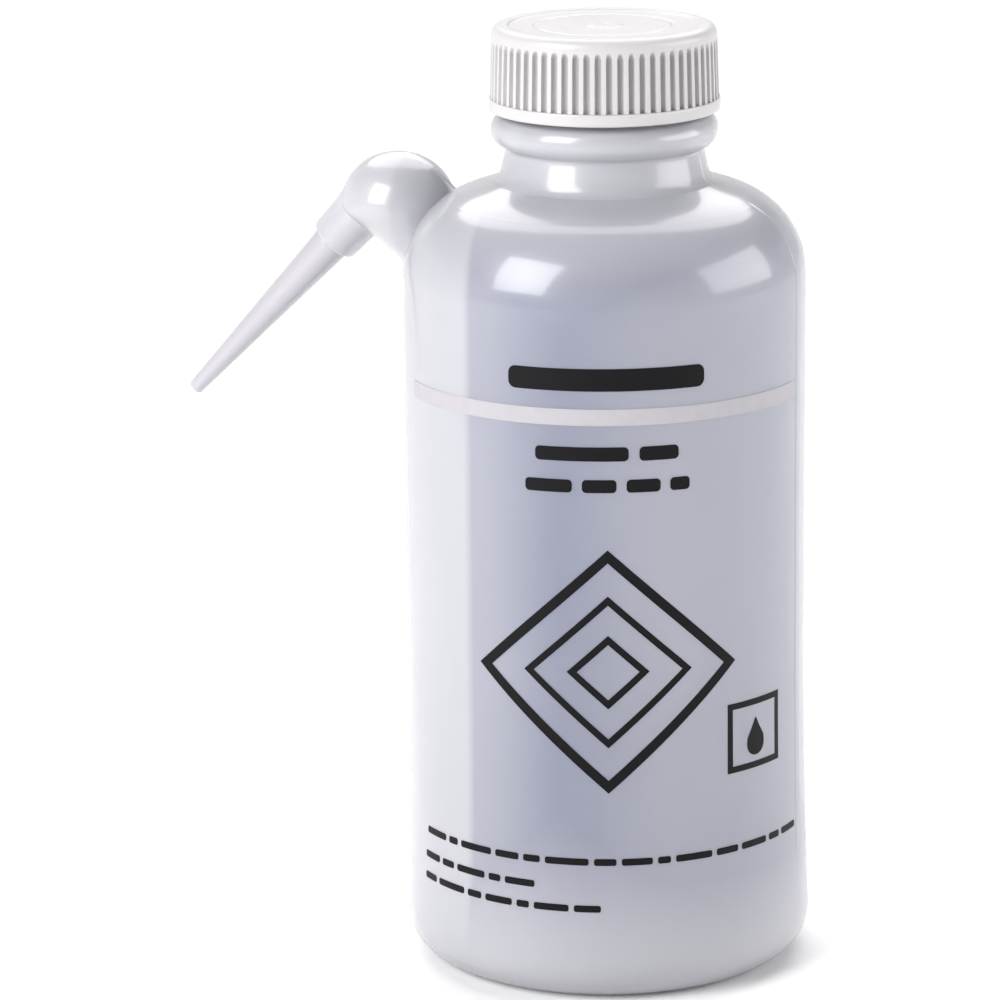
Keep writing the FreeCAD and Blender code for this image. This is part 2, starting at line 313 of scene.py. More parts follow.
def body_grid(sizes):
    """Shell of the body and neck: one section turned round the axis, outside first, then inside.

    The foot's flare, the seam's ridge, a slow waviness of two crossed sines that fades out at the
    foot and the shoulder, and the neck's thread are added to the outside's radius.
    """
    section = rounded([
        # hollow under the base, foot and straight wall
        (0, 2.4, 0, 4), (23, 2.4, 2.5, 4), (26.5, 0, 1.2, 2), (37, 0, 7.8, 1.5),
        # shoulder, neck, bead and rim
        (37, 143.23, 16, 4), (19.55, 146.3, 4.6, 0.7), (18.1, 153.3, 0.9, 0.7),
        (20.8, 154.4, 2.9, 0.5), (20.8, 158.9, 2.8, 0.5), (17.9, 159.6, 0.5, 0.4),
        (17.9, 173, 0.5, 0.3),
        # inside, from the rim down to the middle of the floor
        (15.5, 173, 0.4, 0.6), (15.5, 152.6, 3, 2), (18.0, 147.6, 2, 1), (35.8, 142.1, 14.8, 2),
        (35.8, 1.2, 6.6, 6), (26.8, 1.2, 1, 2), (23.4, 3.6, 2, 1), (0, 3.6, 0, 4)])
    angles = seam_angles(sizes.columns)
    r, z = section[:, :1], section[:, 1:]
    outside = np.zeros(len(section), bool)
    outside[:int(np.argmax(section[:, 1] >= RIM - 1e-6)) + 1] = True
    outside = outside[:, None] * smooth((z - 1 * MM) / (8 * MM))
    extra = foot_flare(z, sizes) * r / sizes.body_radius
    on_wall = outside * smooth((z - 20 * MM) / (40 * MM)) * smooth((150 * MM - z) / (20 * MM))
    waves = np.sin(2 * angles + z / (23 * MM)) + 0.6 * np.sin(5 * angles - z / (31 * MM) + 1.3)
    extra = extra + sizes.unevenness * on_wall * waves / 1.6
    seam = seam_ridge(angles, r, sizes) * outside * smooth((158 * MM - z) / MM)
    extra = extra + seam * smooth((z - 8 * MM) / (30 * MM))
    thread = screw_ridge(angles, z, THREAD_LOW, 1.6, 1.1 * MM, 0.5 * MM, 0.8 * MM)
    extra = extra + thread * (outside > 0) * (z > 160 * MM) * (z < RIM - 0.6 * MM)
    return turned(section, angles, extra)


def arm_grid(sizes, inset):
    """Draw channel, elbow and dome: upright stack of ellipses, moved inwards by inset.

    The channel is a circle whose lower end is held inside the base's rounding. The elbow moves the
    centre and both half-axes from the circle to the dome by a ramp with soft ends, and the dome is
    half an ellipsoid.
    """
    floor = 2.5 * MM + inset
    corner, corner_z, centre_r = 9.5 * MM - inset, 9.5 * MM, 30.7 * MM
    tube = np.concatenate([np.linspace(floor, 9.5 * MM, 14), np.linspace(13 * MM, 125.5 * MM, 30),
                           np.linspace(127 * MM, 129 * MM, 4)])
    climb = np.linspace(0, 1, 25)[1:]
    soft = 0.2
    slope = 1 / (1 - soft)
    ramp = np.where(climb < soft, slope * climb ** 2 / (2 * soft), slope * (climb - soft / 2))
    ramp = np.where(climb > 1 - soft, 1 - slope * (1 - climb) ** 2 / (2 * soft), ramp)
    lift = np.linspace(0, math.pi / 2, 17)[1:]
    dome_half = np.array([10.8, 9.8, 9.75]) * MM - inset
    ones = np.ones_like
    z = np.concatenate([[floor], tube, 129 * MM + 11 * MM * climb,
                        140 * MM + dome_half[2] * np.sin(lift)])
    centre = np.concatenate([[33.5 * MM], 33.5 * MM * ones(tube), (33.5 + 7.4 * ramp) * MM,
                             40.9 * MM * ones(lift)])
    tube_r = 6.3 * MM - inset
    along = np.concatenate([[0], tube_r * ones(tube), tube_r + (dome_half[0] - tube_r) * ramp,
                            dome_half[0] * np.cos(lift)])
    across = np.concatenate([[0], tube_r * ones(tube), tube_r + (dome_half[1] - tube_r) * ramp,
                             dome_half[1] * np.cos(lift)])
    angles = seam_angles(96)
    ridge = 0 if inset else seam_ridge(angles, across[:, None], sizes) * (along[:, None] > MM)
    x = -centre[:, None] + (along[:, None] + ridge) * np.cos(angles)
    y = across[:, None] * np.sin(angles)
    from_axis = np.hypot(x, y)
    drop = np.clip(corner_z - z, 0, corner)
    limit = np.where(z < corner_z, centre_r + np.sqrt(corner ** 2 - drop ** 2), 1.0)[:, None]
    keep = np.minimum(1, limit / np.maximum(from_axis, MM))
    return np.stack([x * keep, y * keep, z[:, None] + 0 * angles], -1)


def along_nozzle(points, angle):
    """Turns points built about +Z onto the nozzle's axis, with z = 0 at the socket's end face."""
    c, s = math.cos(angle), math.sin(angle)
    axes = np.array([[-s, 0, c], [0, 1, 0], [-c, 0, -s]])
    return points @ axes + SOCKET_END


def socket_grid(angle):
    """Solid of the nozzle socket, a short turned spigot with a soft root and a rounded lip."""
    section = rounded([(0, -12, 0, 2), (5.9, -12, 0.3, 2), (5.05, -7.2, 4.0, 0.5), (4.7, 0, 0.9, 0.5),
                       (0, 0, 0, 1)])
    return along_nozzle(turned(section, even_angles(96)), angle)


def seat_grid(angle):
    """Solid of the hollow inside the socket: passage, step and tapered seat."""
    section = rounded([(0, -12.5, 0, 2), (2.7, -12.5, 0.2, 2), (2.7, -7.3, 0.1, 1),
                       (3.30, -7.3, 0.1, 1), (3.50, 1, 0.1, 1), (0, 1, 0, 1)])
    return along_nozzle(turned(section, even_angles(72)), angle)


def oval_window():
    """Outline of the opening through which the channel draws, a rounded oblong in the YZ plane."""
    turn = even_angles(40)[::-1]
    power = 0.55
    y = 3.0 * MM * np.sign(np.cos(turn)) * np.abs(np.cos(turn)) ** power
    z = 7.5 * MM + 3.5 * MM * np.sign(np.sin(turn)) * np.abs(np.sin(turn)) ** power
    return np.stack([y, z], 1)


def moulding(sizes, angle):
    """The whole bottle as one closed mesh: shell, arm, web and socket joined, then hollowed."""
    bottle = skin("bottle", body_grid(sizes), poles=True)
    combine(bottle, skin("arm", arm_grid(sizes, 0), poles=True), "UNION")
    web = rounded([(-33.5, 146.9, 0, 1), (-28.3, 142.2, 0.1, 1), (-33.0, 138.6, 0.1, 1),
                   (-36, 142.0, 0.1, 1), (-33.5, 146.9, 0, 1)])[:-1]
    combine(bottle, plate("web", web[::-1], -0.55 * MM, 0.55 * MM, 1), "UNION")
    combine(bottle, skin("socket", socket_grid(angle), poles=True), "UNION")
    combine(bottle, skin("hollow", arm_grid(sizes, sizes.wall), poles=True), "DIFFERENCE")
    combine(bottle, skin("seat", seat_grid(angle), poles=True), "DIFFERENCE")
    combine(bottle, plate("window", oval_window(), -31.5 * MM, -24 * MM, 0), "DIFFERENCE")
    return bottle


# ---- nozzle, cap and sealing disc ----------------------------------------------------------------
def nozzle_grid(sizes):
    """Tapered jet: a closed ring section turned about the nozzle's axis, outside out, bore back."""
    tail, tip = -sizes.tail / MM, sizes.reach / MM
    base, end = sizes.base_radius / MM, sizes.tip_radius / MM
    section = rounded([
        (2.5, tail + 0.01, 0, 1), (3.25, tail + 0.01, 0.2, 1), (3.42, 0.06, 0.05, 2),
        (base, 0.06, 0.06, 1), (base + 0.02, 0.6, 0.3, 0.3), (end, tip, 0.6, 2.5),
        (sizes.bore_radius / MM, tip, 0.15, 0.4), (2.4, tail + 0.5, 0.3, 3), (2.5, tail + 0.01, 0, 1)])
    return along_nozzle(turned(section[:-1], even_angles(72)), sizes.angle)


def rib_columns(sizes):
    """Angles round the cap and the place of each column across its groove, from -0.5 to 0.5."""
    half = sizes.groove_share / 2
    inside = half * np.array([-1, -0.85, -0.5, 0, 0.5, 0.85, 1])
    across = np.concatenate([[-0.5, -(0.5 + half) / 2], inside, [(0.5 + half) / 2]])
    rib = np.arange(sizes.ribs)[:, None]
    return ((rib + across) / sizes.ribs * TAU).ravel(), np.tile(across, sizes.ribs)


def cap_grid(sizes):
    """Screw cap: one section turned round the axis, with grooves taken off the grip band.

    A groove is half a round across its width, square below and closing to an arch at the top. The
    thread inside is a helical ridge taken off the bore's radius.
    """
    section = rounded([
        # inside of the roof, and the bore
        (0, 173.97, 0, 3), (19.05, 173.97, 0.4, 3), (19.05, 160.12, 0.35, 0.45),
        # plain flange
        (21.2, 160.12, 0.35, 0.8), (21.2, 162.46, 0.3, 0.7), (20.96, 162.47, 0.05, 0.3),
        # grip band and the round edge above it
        (20.92, 163.0, 0.05, 0.3), (20.68, 171.4, 0.5, 1.0), (20.6, 173.3, 0.4, 0.22),
        (20.45, 175.7, 1.7, 0.28),
        # top face with its rim, a shallow ring and the gate's boss
        (17.7, 175.7, 0.2, 0.5), (17.35, 175.42, 0.2, 0.3), (13.1, 175.42, 0.15, 1.5),
        (12.85, 175.3, 0.15, 0.2), (12.35, 175.3, 0.15, 0.3), (12.1, 175.42, 0.15, 0.2),
        (3.4, 175.42, 0.15, 2), (3.1, 175.64, 0.15, 0.3), (0.7, 175.64, 0.2, 0.7),
        (0.4, 175.4, 0.1, 0.3), (0, 175.4, 0, 0.3)])
    angles, across = rib_columns(sizes)
    r, z = section[:, :1], section[:, 1:]
    band = (r > 20.2 * MM) & (z > 162.47 * MM) & (z < 174.4 * MM)
    arch = np.clip((z - 171.7 * MM) / (1.7 * MM), 0, 1)
    half = sizes.groove_share / 2 * np.sqrt(1 - arch ** 2) + 1e-6
    depth = np.sqrt(np.clip(1 - (across / half) ** 2, 0, 1)) ** 0.8
    groove = sizes.groove_depth * depth * band * (1 - arch ** 2)
    bore = (r < 19.2 * MM) & (z < 173.5 * MM)
    ridge = screw_ridge(np.mod(angles, TAU), z, THREAD_LOW + PITCH / 2, 1.5, 0.9 * MM, 0.4 * MM,
                        0.8 * MM)
    return turned(section, angles, -groove - ridge * bore)


def disc_grid():
    """Sealing disc with soft edges and the shallow ring that the neck's rim presses into it."""
    section = rounded([
        (0, 173.1, 0, 3), (14.9, 173.1, 0.3, 3), (15.3, 173.16, 0.2, 0.3), (18.1, 173.16, 0.2, 0.5),
        (18.4, 173.06, 0.1, 0.3), (18.6, 173.06, 0.05, 0.3), (18.6, 173.95, 0.2, 0.3),
        (0, 173.95, 0, 3)])
    return turned(section, even_angles(128))


# ---- print ---------------------------------------------------------------------------------------
def wrap(across, z, sizes, lift):
    """Lays points (across, z) of the flat artwork round the wall: angle = across / body radius."""
    radius = sizes.body_radius + foot_flare(z, sizes) + lift
    angle = ARTWORK_MIDDLE + across / sizes.body_radius
    return np.stack([radius * np.cos(angle), radius * np.sin(angle), z], -1)


def bar(left, right, low, high, rounding):
    """Grid of a bar with round corners: full height in the middle, shorter along the end arcs."""
    turn = np.linspace(0, math.pi / 2, 7)
    middle = np.linspace(left + rounding, right - rounding, max(2, math.ceil((right - left) / 1.2)))
    across = np.concatenate([left + rounding * (1 - np.cos(turn)), middle[1:-1],
                             right - rounding * (1 - np.cos(turn[::-1]))])
    end = np.minimum(across - left, right - across)
    short_of_arc = rounding - np.minimum(end, rounding)
    cut = rounding - np.sqrt(np.clip(rounding ** 2 - short_of_arc ** 2, 0, None))
    low_or_high = np.array([0, 1.0])[:, None]
    z = low + cut + (high - low - 2 * cut) * low_or_high
    return np.stack([across + 0 * z, z], -1)


def stroke(points, width):
    """Grid of a closed line of even width: each point moved half the width to both sides.

    The side direction is the mean of the neighbouring edges' normals, stretched at the corners.
    """
    ahead = np.roll(points, -1, 0) - points
    normal = np.stack([-ahead[:, 1], ahead[:, 0]], 1)
    normal /= np.linalg.norm(normal, axis=1)[:, None]
    side = normal + np.roll(normal, 1, 0)
    side /= (1 + np.sum(normal * np.roll(normal, 1, 0), 1))[:, None]
    grid = np.stack([points - side * width / 2, points + side * width / 2], 0)
    return np.concatenate([grid, grid[:, :1]], 1)


def polygon(corners, spacing=1.2):
    """Closed path with straight sides divided by the spacing."""
    corners = np.array(corners, float)
    return np.concatenate([run(a, b, spacing) for a, b in zip(corners, np.roll(corners, -1, 0))])


def word_row(left, right, low, high, lengths):
    """Bars of the given relative lengths that fill a row from left to right, one gap apart."""
    gap = (high - low) * 0.75
    room = (right - left - gap * (len(lengths) - 1)) / sum(lengths)
    bars, at = [], left
    for portion in lengths:
        bars.append(bar(at, at + portion * room, low, high, (high - low) * 0.32))
        at += portion * room + gap
    return bars


def arc_mm(degrees):
    """Distance round the wall, in millimetres, of an angle from the artwork's middle."""
    return math.radians(degrees) * BODY_RADIUS / MM


def drop_mark(middle, z):
    """Grid of a drop: a circle that narrows towards its top, filled in to its upright middle line."""
    turn = even_angles(48)
    up = np.cos(turn)
    swell = 2.1 * np.sin(turn) * (1 - 0.42 * up) * np.where(up > 0, 1 - 0.6 * up, 1)
    drop = np.stack([middle + swell, z + 3.6 * up], 1)
    spine = np.stack([np.full(48, middle), drop[:, 1]], 1)
    return np.stack([drop, spine], 0)


def ink_marks(sizes):
    """All black marks as flat grids in millimetres: title bar, word rows, diamonds and drop frame."""
    marks = [bar(arc_mm(-28), arc_mm(28.3), 115.5, 119.6, 1.4)]
    marks += word_row(arc_mm(-20), arc_mm(20.5), 102.7, 105.3, [14, 6])
    marks += word_row(arc_mm(-23), arc_mm(23.8), 96.9, 99.3, [7, 5, 5, 3])
    middle_z, half_x, half_z = 63.5, arc_mm(36.6), 21.6
    for scale in (1.0, 0.62, 0.28):
        line = polygon(np.array([[0, -1], [1, 0], [0, 1], [-1, 0]]) * [half_x * scale, half_z * scale]
                       + [0.2, middle_z])
        marks.append(stroke(line, sizes.diamond_line / MM * (1 if scale == 1 else 0.7)))
    left, right, low, high = arc_mm(37.2), arc_mm(57.0), 42.6, 54.6
    marks.append(stroke(polygon([[left, low], [right, low], [right, high], [left, high]]),
                        sizes.frame_line / MM))
    marks.append(drop_mark((left + right) / 2, 48.0))
    marks += word_row(arc_mm(-63), arc_mm(68), 27.0, 28.3, [8, 3, 9, 6, 4, 10, 5, 7, 3, 9, 6, 8, 4, 7])
    marks += word_row(arc_mm(-64), arc_mm(-21), 22.2, 23.5, [6, 4, 8, 3, 7])
    marks += word_row(arc_mm(-64), arc_mm(-2), 18.1, 19.4, [5, 9, 4, 7, 3, 8, 6])
    return marks


def print_piece(name, grids, wall, thickness):
    """One mesh of flat marks laid on the wall and given the ink's thickness."""
    lift = wall.unevenness + thickness
    parts = []
    for k, grid in enumerate(grids):
        grid = np.asarray(grid) * MM
        points = wrap(grid[..., 0], grid[..., 1], wall, lift)
        parts.append(skin("%s_%d" % (name, k), points, close_columns=False))
    piece = parts[0]
    if len(parts) > 1:
        with bpy.context.temp_override(active_object=piece, selected_editable_objects=parts):
            bpy.ops.object.join()
    piece.name = name
    piece.modifiers.new("Thickness", "SOLIDIFY").thickness = thickness
    settle(piece)
    return piece


# ---- materials -----------------------------------------------------------------------------------
class Finish:
    """A new material with a Principled shader, and short ways to add patterns to it."""

    def __init__(self, name, roughness):
        self.material = bpy.data.materials.new(name)
        self.material.use_nodes = True
        self.tree = self.material.node_tree
        self.shader = self.tree.nodes["Principled BSDF"]
        self.shader.inputs["Roughness"].default_value = roughness
        self.where = self.tree.nodes.new("ShaderNodeTexCoord").outputs["Object"]

    def stretch(self, scale):
        """Object coordinates scaled along each axis."""
        node = self.tree.nodes.new("ShaderNodeMapping")
        node.inputs["Scale"].default_value = scale
        self.tree.links.new(self.where, node.inputs["Vector"])
        return node.outputs["Vector"]

    def noise(self, scale, detail=3.0, stretch=(1, 1, 1)):
        """Cloudy pattern, with scale in clouds to the metre."""
        node = self.tree.nodes.new("ShaderNodeTexNoise")
        node.inputs["Scale"].default_value = scale
        node.inputs["Detail"].default_value = detail
        self.tree.links.new(self.stretch(stretch), node.inputs["Vector"])
        return node.outputs["Fac"]

    def span(self, value, low, high, start=0.3, end=0.7):
        """Value between start and end, spread over low to high."""
        node = self.tree.nodes.new("ShaderNodeMapRange")
        for name, number in (("From Min", start), ("From Max", end), ("To Min", low), ("To Max", high)):
            node.inputs[name].default_value = number
        self.tree.links.new(value, node.inputs["Value"])
        return node.outputs["Result"]

    def place(self, axis):
        """One of the Object coordinates."""
        node = self.tree.nodes.new("ShaderNodeSeparateXYZ")
        self.tree.links.new(self.where, node.inputs[0])
        return node.outputs[axis]

    def from_axis(self):
        """Distance from the Z axis."""
        node = self.tree.nodes.new("ShaderNodeVectorMath")
        node.operation = "LENGTH"
        self.tree.links.new(self.stretch((1, 1, 0)), node.inputs[0])
        return node.outputs["Value"]

    def soft_span(self, value, start, end, most):
        """Rises with level ends from 0 to most as the value goes from start to end."""
        node = self.tree.nodes.new("ShaderNodeMapRange")
        node.interpolation_type = "SMOOTHSTEP"
        for name, number in (("From Min", start), ("From Max", end), ("To Min", 0), ("To Max", most)):
            node.inputs[name].default_value = number
        self.tree.links.new(value, node.inputs["Value"])
        return node.outputs["Result"]

    def larger(self, *values):
        """The largest of several values."""
        best = values[0]
        for value in values[1:]:
            node = self.tree.nodes.new("ShaderNodeMath")
            node.operation = "MAXIMUM"
            self.tree.links.new(best, node.inputs[0])
            self.tree.links.new(value, node.inputs[1])
            best = node.outputs[0]
        return best

    def blend(self, value, first, second):
        """Colour between first and second, which are colours or sockets."""
        node = self.tree.nodes.new("ShaderNodeMix")
        node.data_type = "RGBA"
        self.tree.links.new(value, node.inputs[0])
        for socket, given in ((node.inputs[6], first), (node.inputs[7], second)):
            if isinstance(given, bpy.types.NodeSocket):
                self.tree.links.new(given, socket)
            else:
                socket.default_value = (*given, 1)
        return node.outputs[2]

    def specks(self, scale, size, portion):
        """1 inside small specks, one in some of the cells of the given scale, else 0."""
        cells = self.tree.nodes.new("ShaderNodeTexVoronoi")
        cells.inputs["Scale"].default_value = scale
        self.tree.links.new(self.where, cells.inputs["Vector"])
        near = self.span(cells.outputs["Distance"], 1, 0, size * 0.7, size)
        pick = self.tree.nodes.new("ShaderNodeSeparateColor")
        self.tree.links.new(cells.outputs["Color"], pick.inputs["Color"])
        chosen = self.span(pick.outputs["Red"], 1, 0, portion, portion + 0.01)
        both = self.tree.nodes.new("ShaderNodeMath")
        both.operation = "MULTIPLY"
        self.tree.links.new(near, both.inputs[0])
        self.tree.links.new(chosen, both.inputs[1])
        return both.outputs[0]

    def put(self, value, socket):
        """Links a pattern to one of the shader's sockets."""
        self.tree.links.new(value, self.shader.inputs[socket])

    def bump(self, height, distance, strength, before=None):
        """Relief of the given depth from a pattern, on top of an earlier relief."""
        node = self.tree.nodes.new("ShaderNodeBump")
        node.inputs["Distance"].default_value = distance
        node.inputs["Strength"].default_value = strength
        self.tree.links.new(height, node.inputs["Height"])
        if before:
            self.tree.links.new(before, node.inputs["Normal"])
        self.tree.links.new(node.outputs["Normal"], self.shader.inputs["Normal"])
        return node.outputs["Normal"]


def shade(rgb, factor):
    """A colour made lighter or darker."""
    return tuple(min(1.0, c * factor) for c in rgb)


def milky_plastic(name, thin, thick_and_painted_light, opacity):
    """Natural polyethylene: cloudy and satin, a little see-through, with a fine skin and rare specks.

    The colour goes from the thin colour to the milkier one by a map of the Object coordinates.
    It is milkiest at the draw channel and its arm, where the blown wall is thickest, and at the
    neck, whose wall is thicker; milkier towards -X and round the base. Painted light: the shoulder
    is given the milkier, lighter colour as though lit through from above, and so is the +X side,
    which faces the right-hand lamp.
    """
    look = Finish(name, 0.3)
    x, z = look.place("X"), look.place("Z")
    towards_channel = look.soft_span(x, 0.006, -0.014, 0.35)
    beside_channel = look.soft_span(x, -0.0115, -0.0155, 0.85)
    elbow = look.soft_span(x, -0.034, -0.040, 1.0)
    # Painted light: the +X side, which faces the right-hand lamp, is given the milkier, lighter colour.
    painted_light_far_side = look.soft_span(x, 0.002, 0.026, 0.40)
    # Partly real, partly painted light: the neck's thicker wall is milkier, and the shoulder is painted
    # milkier and lighter as though lit through from above.
    shoulder = look.soft_span(z, 0.124, 0.150, 0.85)
    base_ring = look.soft_span(z, 0.040, 0.004, 0.85)
    # The mask joins the milkier zones with the painted light on the shoulder and the +X side.
    milky = look.larger(towards_channel, beside_channel, elbow, painted_light_far_side, shoulder, base_ring)
    base = look.blend(milky, thin, thick_and_painted_light)
    clouds = look.span(look.noise(38, 4, (1, 1, 0.45)), 0.06, 0.0, 0.25, 0.75)
    base = look.blend(clouds, base, (1.0, 1.0, 1.0))
    base = look.blend(look.specks(45, 0.008, 0.07), base, (0.14, 0.12, 0.10))
    look.put(base, "Base Color")
    look.put(look.span(look.noise(160, 2), 0.29, 0.36), "Roughness")
    relief = look.bump(look.noise(110, 2, (1, 1, 0.35)), 0.0002, 0.15)
    look.bump(look.noise(800, 2), 0.00001, 0.15, relief)
    for socket, value in (("Alpha", opacity), ("IOR", 1.51), ("Coat Weight", 0.8),
                          ("Coat Roughness", 0.10)):
        look.shader.inputs[socket].default_value = value
    return look.material


def cap_plastic(rgb):
    """Opaque white polypropylene: semi-gloss, light pebble, few specks, painted shade in grooves and
    bore.
    """
    look = Finish("cap_plastic", 0.35)
    base = look.blend(look.span(look.noise(70, 3), 0, 1), shade(rgb, 0.97), rgb)
    # Painted shade: where this mask is 0, in the grooves between the ribs and in the bore, the white is
    # painted 30 % darker.
    clear_of_painted_shade = look.larger(look.soft_span(look.from_axis(), 0.0199, 0.0207, 1),
                        look.soft_span(look.place("Z"), 0.1725, 0.1745, 1))
    base = look.blend(clear_of_painted_shade, shade(rgb, 0.70), base)
    base = look.blend(look.specks(90, 0.02, 0.12), base, (0.16, 0.14, 0.12))
    look.put(base, "Base Color")
    look.put(look.span(look.noise(500, 2), 0.30, 0.40), "Roughness")
    look.bump(look.noise(700, 2), 0.00001, 0.25)
    return look.material


def foam(rgb):
    """Closed-cell foam: matt, with small open cells."""
    look = Finish("liner_foam", 0.85)
    cells = look.noise(2400, 3)
    look.put(look.blend(look.span(cells, 0, 1), shade(rgb, 0.86), rgb), "Base Color")
    look.bump(cells, 0.00012, 0.8)
    return look.material


def ink(name, rgb):
    """Screen-printed ink: slightly uneven in tone and gloss."""
    look = Finish(name, 0.42)
    mottle = look.span(look.noise(500, 3), 0, 1)
    look.put(look.blend(mottle, shade(rgb, 0.975), shade(rgb, 1.025)), "Base Color")
    look.put(look.span(look.noise(350, 2), 0.40, 0.50), "Roughness")
    look.bump(look.noise(1800, 2), 0.00001, 0.3)
    look.shader.inputs["Specular IOR Level"].default_value = 0.12
    return look.material


def floor_paint(rgb):
    """Plain pale floor with the faintest unevenness."""
    look = Finish("floor_paint", 0.9)
    look.put(look.blend(look.span(look.noise(6, 2), 0, 1), shade(rgb, 0.995), rgb),
                  "Base Color")
    look.shader.inputs["Specular IOR Level"].default_value = 0.1
    return look.material


# ---- stage ---------------------------------------------------------------------------------------
def panel_light(name, azimuth, elevation, distance, width, height, power):
    """Soft rectangular panel aimed at the bottle's middle."""
    data = bpy.data.lights.new(name, "AREA")
    data.shape = "RECTANGLE"
    data.size, data.size_y, data.energy = width, height, power
    lamp = bpy.data.objects.new(name, data)
    aim(lamp, azimuth, elevation, distance)
    bpy.context.scene.collection.objects.link(lamp)


def place(thing, right, up, back, at):
    """Sets an object's axes and place in the row frame."""
    thing.matrix_world = Matrix(np.column_stack([right, up, back, at]).tolist() + [[0, 0, 0, 1]])


def overhead_light(name, azimuth, elevation, strength, spread):
    """Wide, even light on the whole floor from behind and above, with the given spread in degrees."""
    data = bpy.data.lights.new(name, "SUN")
    data.energy, data.angle = strength, math.radians(spread)
    lamp = bpy.data.objects.new(name, data)
    aim(lamp, azimuth, elevation, 1.5)
    bpy.context.scene.collection.objects.link(lamp)


def aim(lamp, azimuth, elevation, distance):
    """Points a lamp at the bottle's middle from an azimuth (from -Y towards +X) and elevation."""
    a, e = math.radians(azimuth), math.radians(elevation)
    away = np.array([math.sin(a) * math.cos(e), -math.cos(a) * math.cos(e), math.sin(e)])
    right = np.array([math.cos(a), math.sin(a), 0.0])
    place(lamp, right, np.cross(away, right), away, away * distance + [0, 0, AIM_HEIGHT])


def front_camera(sizes):
    """Camera that looks down on the bottle by a quarter of a radian, turned about the axis."""
    pitch, yaw, roll = 0.25, -0.022, -0.010
    cp, sp, cy, sy = math.cos(pitch), math.sin(pitch), math.cos(yaw), math.sin(yaw)
    ahead = np.array([sy * cp, cy * cp, -sp])
    right = np.array([cy, -sy, 0.0])
    up = np.cross(right, ahead)
    right, up = (math.cos(roll) * right + math.sin(roll) * up,
                 -math.sin(roll) * right + math.cos(roll) * up)
    c, s = math.cos(sizes.side), math.sin(sizes.side)
    turn = np.array([[c, -s, 0], [s, c, 0], [0, 0, 1]])
    data = bpy.data.cameras.new("camera")
    data.lens, data.sensor_width, data.clip_start = 179.42, 36.0, 0.05
    camera = bpy.data.objects.new("camera", data)
    at = turn @ np.array([0, -sizes.distance, sizes.height])
    place(camera, turn @ right, turn @ up, turn @ -ahead, at)
    bpy.context.scene.collection.objects.link(camera)
    bpy.context.scene.camera = camera


def studio_world(sky, horizon):
    """White light from all round, even overhead and brighter in a low band at the horizon."""
    world = bpy.data.worlds.new("studio")
    world.use_nodes = True
    tree = world.node_tree
    where = tree.nodes.new("ShaderNodeTexCoord")
    split = tree.nodes.new("ShaderNodeSeparateXYZ")
    level = tree.nodes.new("ShaderNodeMapRange")
    level.interpolation_type = "SMOOTHSTEP"
    for name, number in (("From Min", 0.10), ("From Max", 0.35), ("To Min", horizon), ("To Max", sky)):
        level.inputs[name].default_value = number
    tree.links.new(where.outputs["Generated"], split.inputs[0])
    tree.links.new(split.outputs["Z"], level.inputs["Value"])
    tree.links.new(level.outputs["Result"], tree.nodes["Background"].inputs["Strength"])
    tree.nodes["Background"].inputs["Color"].default_value = (1.0, 1.0, 1.0, 1)
    bpy.context.scene.world = world


# ---- operators -----------------------------------------------------------------------------------
class WASHBOTTLE_OT_moulding(bpy.types.Operator):
    """Make the bottle: body, neck, draw channel, elbow and nozzle socket in one moulding"""
    bl_idname = "washbottle.moulding"
    bl_label = "Bottle"

    def execute(self, context):
        sizes = context.scene.washbottle_moulding
        bottle = moulding(sizes, context.scene.washbottle_nozzle.angle)
        finish(bottle, "bottle",
               ["bottle_base", "bottle_heel", "bottle_wall", "bottle_shoulder", "neck_finish",
                "channel_foot", "draw_channel", "elbow_funnel", "elbow_dome", "nozzle_socket"],
               milky_plastic("bottle_plastic", sizes.plastic, sizes.thick_plastic_and_painted_light, sizes.opacity))
        return {"FINISHED"}


class WASHBOTTLE_OT_nozzle(bpy.types.Operator):
    """Make the tapered nozzle that pushes into the socket"""
    bl_idname = "washbottle.nozzle"
    bl_label = "Nozzle"

    def execute(self, context):
        sizes = context.scene.washbottle_nozzle
        finish(skin("nozzle_jet", nozzle_grid(sizes), close_rows=True), "nozzle",
               ["nozzle"], milky_plastic("nozzle_plastic", sizes.plastic, sizes.plastic, sizes.opacity))
        return {"FINISHED"}


class WASHBOTTLE_OT_closure(bpy.types.Operator):
    """Make the screw cap and the sealing disc inside it"""
    bl_idname = "washbottle.closure"
    bl_label = "Cap and sealing disc"

    def execute(self, context):
        sizes = context.scene.washbottle_cap
        finish(skin("cap", cap_grid(sizes), poles=True), "cap", ["screw_cap"],
               cap_plastic(sizes.plastic), sharp=40)
        finish(skin("sealing_disc", disc_grid(), poles=True), "liner", ["cap_liner"],
               foam(sizes.foam))
        return {"FINISHED"}


class WASHBOTTLE_OT_print(bpy.types.Operator):
    """Make the printed marks and the white band on the wall"""
    bl_idname = "washbottle.print"
    bl_label = "Print"

    def execute(self, context):
        sizes, wall = context.scene.washbottle_print, context.scene.washbottle_moulding
        thickness = sizes.ink_thickness
        band = bar(arc_mm(-71), arc_mm(67), low=109.2, high=112.2, rounding=0.3)
        marks = print_piece("print_ink", ink_marks(sizes), wall, thickness)
        finish(marks, "bottle", [], ink("print_ink", sizes.ink))
        writing_band = print_piece("print_band", [band], wall, thickness)
        finish(writing_band, "bottle", [], ink("print_band", sizes.band))
        return {"FINISHED"}


